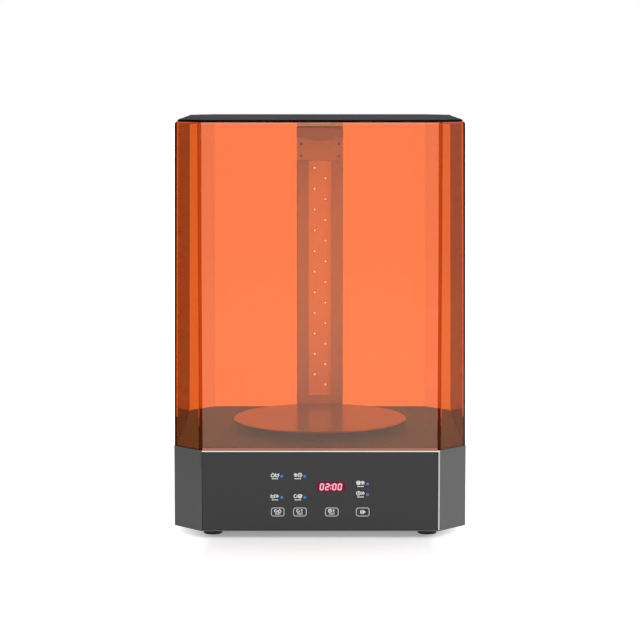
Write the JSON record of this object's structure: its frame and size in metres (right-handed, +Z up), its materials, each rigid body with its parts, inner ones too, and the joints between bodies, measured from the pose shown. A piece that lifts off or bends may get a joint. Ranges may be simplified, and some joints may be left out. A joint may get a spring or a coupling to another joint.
{
  "type": "resin wash and cure station",
  "caption": "Benchtop resin wash and cure station: dark base with touch panel, motor-driven turntable, lamp column and a tall amber lift-off hood.",
  "frame": {"origin": "on the surface it stands on, under the middle of the base", "axes": "+X to the right as seen from the front, -Y towards the front panel, +Z up"},
  "size_m": [0.3064, 0.285, 0.434],
  "materials": {
    "housing": "fine satin grain",
    "deck": "satin",
    "rubber": "matt",
    "screws": "zinc plated",
    "dark_screws": "blackened",
    "trim": "satin bright",
    "panel": "satin dark sheet",
    "display": "tinted",
    "indicator": "clear light guide",
    "dark_plastic": "moulded",
    "circuit_board": "lacquered board",
    "aluminium": "machined",
    "steel": "ground",
    "motor_body": "satin",
    "column": "satin grey",
    "column_cap": "satin grey",
    "lamp_board": "white lacquer",
    "lamps": "clear lens",
    "magnets": "nickel plated",
    "turntable": "polished",
    "amber": "clear amber, polished",
    "top_plate": "satin black",
    "rocker": "moulded"
  },
  "bodies": {
    "root": {"base_shell": "housing", "bottom_plate": "housing", "feet": "rubber", "foot_screws": "screws", "bottom_screws": "screws", "front_trim": "trim", "front_panel": "panel", "display_lens": "display", "display_module": "dark_plastic", "indicator_lights": "indicator", "touch_board": "circuit_board", "touch_pads": "rubber", "control_board": "circuit_board", "board_screws": "screws", "deck_plate": "deck", "deck_screws": "dark_screws", "bearing_housing": "aluminium", "housing_screws": "screws", "bearing_outer_rings": "steel", "motor": "motor_body", "motor_bracket": "steel", "motor_posts": "steel", "motor_screws": "screws", "hood_sensor": "dark_plastic", "switch_housing": "dark_plastic", "power_socket": "dark_plastic", "column_channel": "column", "column_foot": "aluminium", "column_screws": "screws", "column_face": "column", "column_head": "column", "head_screws": "dark_screws", "column_cap": "column_cap", "led_board": "lamp_board", "led_emitters": "lamps", "led_heatsink": "aluminium"},
    "drive": {"motor_shaft": "steel", "shaft_coupling": "aluminium", "spindle": "steel", "bearing_inner_rings": "steel", "spindle_circlip": "steel", "drive_hub": "dark_plastic", "hub_magnets": "magnets", "drive_pins": "steel"},
    "turntable": {"turntable_disc": "turntable", "turntable_boss": "dark_plastic", "turntable_magnets": "magnets", "turntable_screws": "screws"},
    "hood": {"hood_shell": "amber", "hood_top_plate": "top_plate", "hood_magnet": "magnets"},
    "rocker": {"switch_rocker": "rocker"}
  },
  "joints": [
    {"name": "hood_lift", "type": "slide", "parent": "root", "child": "hood", "axis": [0, 0, 1], "range_m": [0, 0.36]},
    {"name": "drive_spin", "type": "hinge", "parent": "root", "child": "drive", "pos_m": [0, 0, 0.08], "axis": [0, 0, 1], "continuous": true},
    {"name": "turntable_lift", "type": "slide", "parent": "drive", "child": "turntable", "axis": [0, 0, 1], "range_m": [0, 0.05]},
    {"name": "switch_rock", "type": "hinge", "parent": "root", "child": "rocker", "pos_m": [-0.07075, 0.1366, 0.046], "axis": [-1, 0, 0], "range_deg": [0, 16]}
  ]
}
